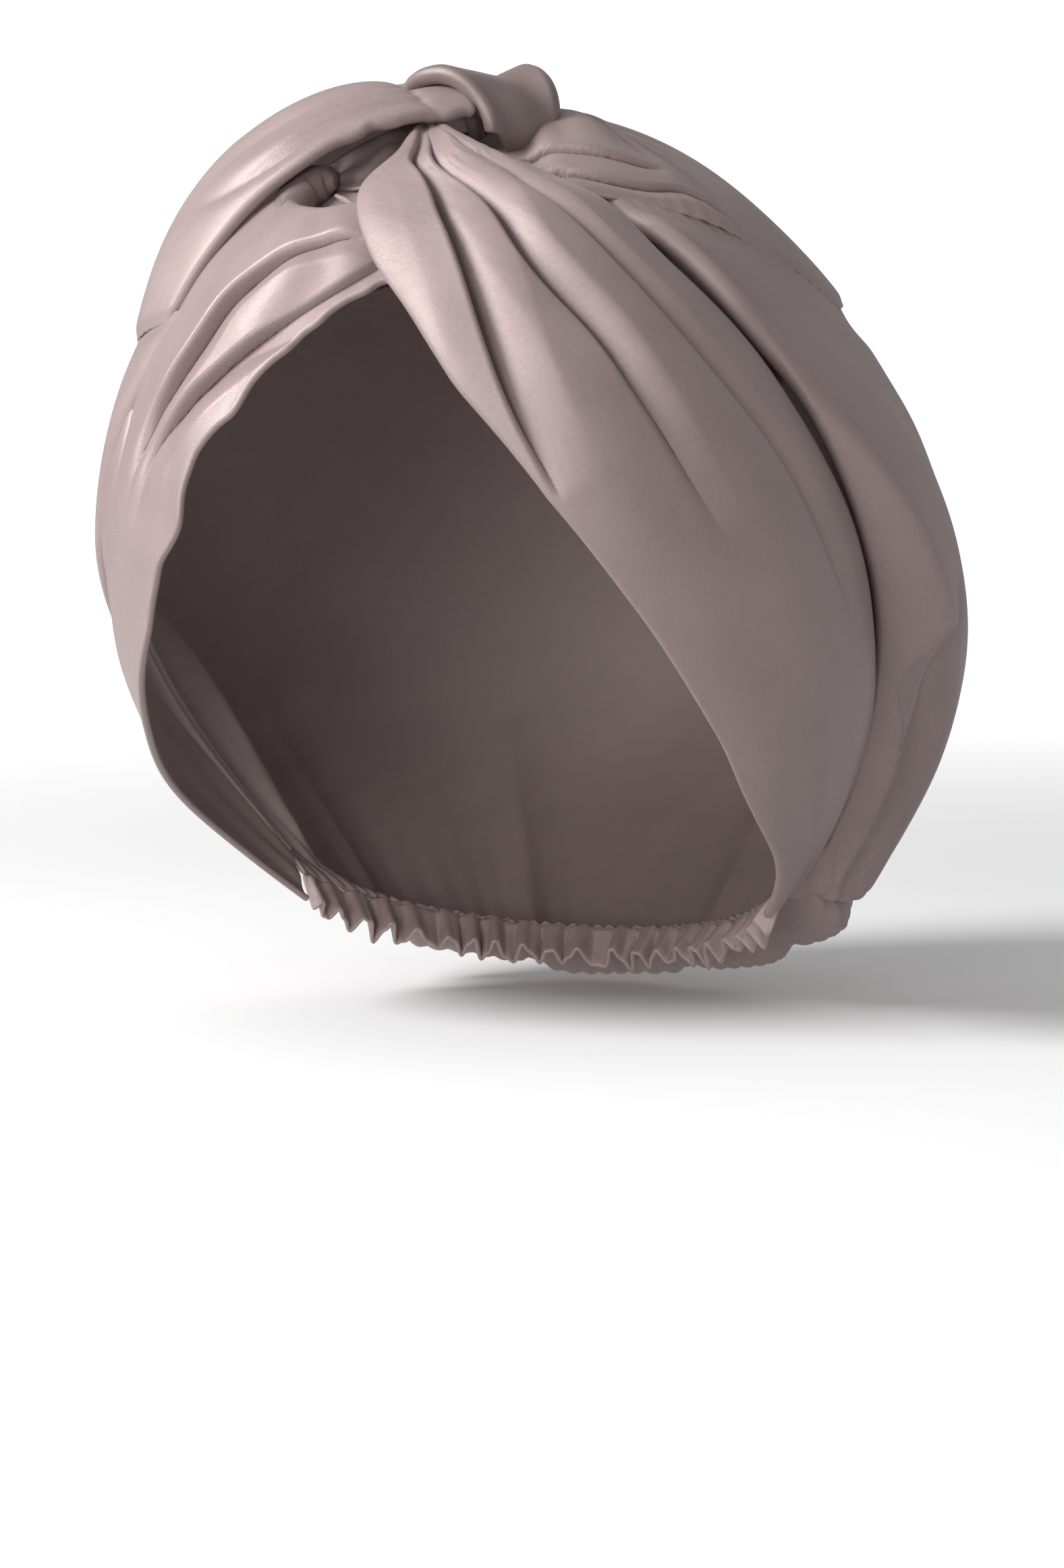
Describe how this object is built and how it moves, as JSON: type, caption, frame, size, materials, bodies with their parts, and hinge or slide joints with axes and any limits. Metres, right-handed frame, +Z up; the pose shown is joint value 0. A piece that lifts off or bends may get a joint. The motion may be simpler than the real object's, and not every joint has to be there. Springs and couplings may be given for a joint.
{
  "type": "satin turban bonnet",
  "caption": "Satin head wrap bonnet with a twisted knot and standing loop over the forehead, pleated side panels, a gathered crown and a full bag drawn in by a ruffled casing at the nape.",
  "frame": {"origin": "top of the head inside the crown, where the bonnet sits", "axes": "+Z up, -Y towards the wearer's face, +X towards the wearer's left"},
  "size_m": [0.1884, 0.2078, 0.2039],
  "materials": {
    "satin": "dusty mauve satin with a soft sheen and a fine diagonal weave",
    "casing": "the same satin gathered over elastic"
  },
  "bodies": {
    "root": {"left_wrap": "satin", "right_wrap": "satin", "crown_top": "satin", "crown_back": "satin", "knot_loop": "satin", "knot_tuck": "satin", "nape_casing": "casing"}
  },
  "joints": []
}
